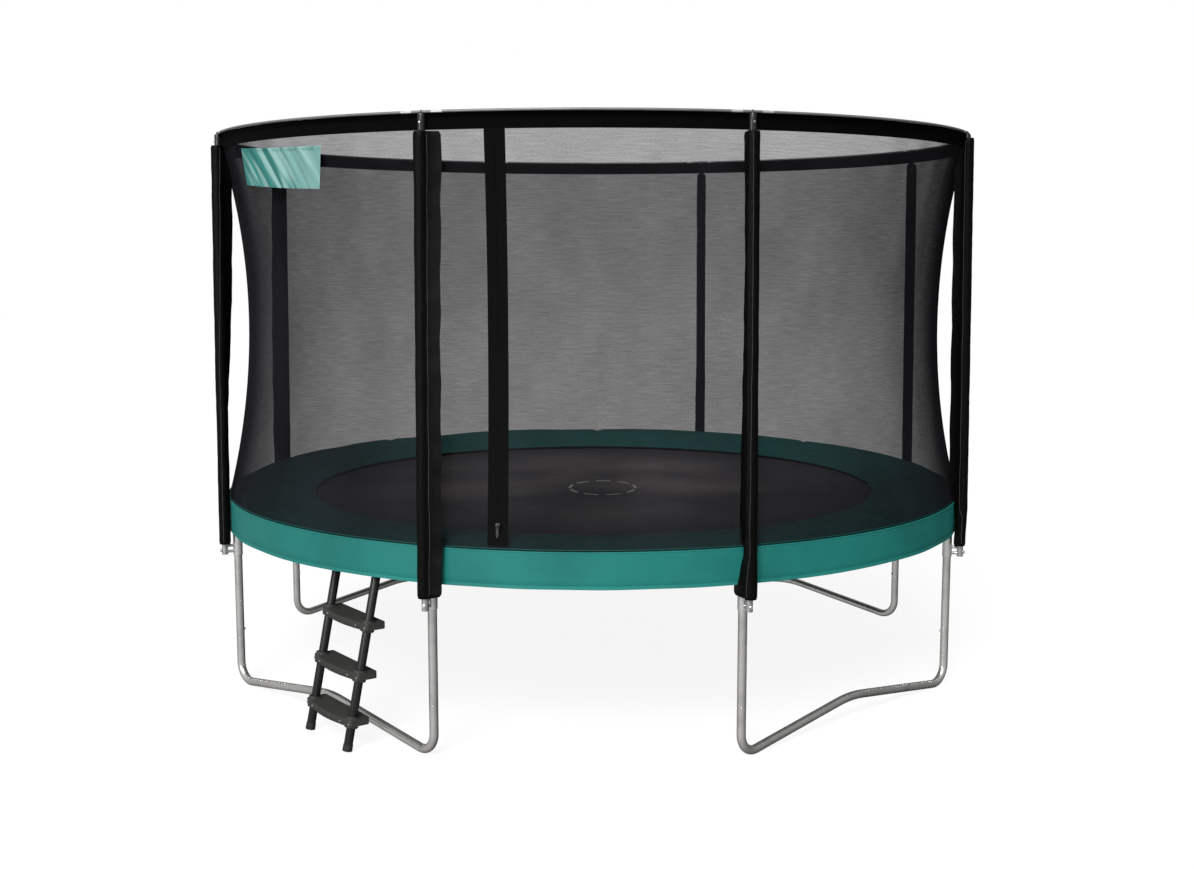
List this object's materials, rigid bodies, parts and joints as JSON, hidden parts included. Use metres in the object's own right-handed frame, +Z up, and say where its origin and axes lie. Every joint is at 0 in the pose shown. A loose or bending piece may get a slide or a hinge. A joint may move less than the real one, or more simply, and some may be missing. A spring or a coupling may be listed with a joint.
{
  "type": "backyard trampoline",
  "caption": "Round backyard trampoline on W-shaped steel legs with padded poles, a waisted safety net on a thin top ring, a spring pad with skirt, a zipped doorway and a hook-on ladder.",
  "frame": {"origin": "on the ground under the centre of the jumping mat", "axes": "+Z up; the zipped doorway faces -Y, with the ladder to its left as seen from outside"},
  "size_m": [3.6896, 3.6896, 2.6155],
  "materials": {
    "galvanised_steel": "satin",
    "pole_steel": "satin",
    "ring_steel": "satin",
    "spring_steel": "satin",
    "black_cover": "satin",
    "net_cloth": "matte",
    "black_webbing": "matte",
    "mat_cloth": "matte",
    "green_vinyl": "satin",
    "green_cloth": "satin",
    "black_steel": "satin",
    "black_plastic": "matte"
  },
  "bodies": {
    "root": {"frame_rail_1": "galvanised_steel", "frame_rail_2": "galvanised_steel", "frame_rail_3": "galvanised_steel", "frame_rail_4": "galvanised_steel", "frame_rail_5": "galvanised_steel", "frame_rail_6": "galvanised_steel", "frame_rail_7": "galvanised_steel", "frame_rail_8": "galvanised_steel", "t_section_1": "galvanised_steel", "t_section_2": "galvanised_steel", "t_section_3": "galvanised_steel", "t_section_4": "galvanised_steel", "t_section_5": "galvanised_steel", "t_section_6": "galvanised_steel", "t_section_7": "galvanised_steel", "t_section_8": "galvanised_steel", "leg_extension_1": "galvanised_steel", "leg_extension_2": "galvanised_steel", "leg_extension_3": "galvanised_steel", "leg_extension_4": "galvanised_steel", "leg_extension_5": "galvanised_steel", "leg_extension_6": "galvanised_steel", "leg_extension_7": "galvanised_steel", "leg_extension_8": "galvanised_steel", "leg_base_1": "galvanised_steel", "leg_base_2": "galvanised_steel", "leg_base_3": "galvanised_steel", "leg_base_4": "galvanised_steel", "net_pole_1": "pole_steel", "net_pole_2": "pole_steel", "net_pole_3": "pole_steel", "net_pole_4": "pole_steel", "net_pole_5": "pole_steel", "net_pole_6": "pole_steel", "net_pole_7": "pole_steel", "net_pole_8": "pole_steel", "pole_sleeve_1": "black_cover", "pole_sleeve_2": "black_cover", "pole_sleeve_3": "black_cover", "pole_sleeve_4": "black_cover", "pole_sleeve_5": "black_cover", "pole_sleeve_6": "black_cover", "pole_sleeve_7": "black_cover", "pole_sleeve_8": "black_cover", "top_ring": "ring_steel", "net_front": "net_cloth", "net_right": "net_cloth", "net_left": "net_cloth", "zip_band": "black_webbing", "banner": "green_cloth", "springs": "spring_steel", "spring_pad": "green_vinyl", "pad_skirt": "green_vinyl"},
    "mat": {"jumping_mat": "mat_cloth"},
    "zip_slider": {"zip_slider": "spring_steel"},
    "ladder": {"ladder_rail_left": "black_steel", "ladder_rail_right": "black_steel", "ladder_tread_1": "black_plastic", "ladder_tread_2": "black_plastic", "ladder_tread_3": "black_plastic"}
  },
  "joints": [
    {"name": "mat_bounce", "type": "slide", "parent": "root", "child": "mat", "axis": [0, 0, 1], "range_m": [-0.2, 0], "stiffness_N_per_m": 4000, "springref_m": 0.0095, "deforming": ["springs"]},
    {"name": "zip_slide", "type": "hinge", "parent": "root", "child": "zip_slider", "pos_m": [-0.355, -4.80855, 1.74], "axis": [1, 0, 0], "range_deg": [0, 26]},
    {"name": "ladder_swing", "type": "hinge", "parent": "root", "child": "ladder", "pos_m": [-1.05807, -1.45695, 0.845], "axis": [-0.8091, 0.5876, 0], "range_deg": [0, 8]}
  ]
}
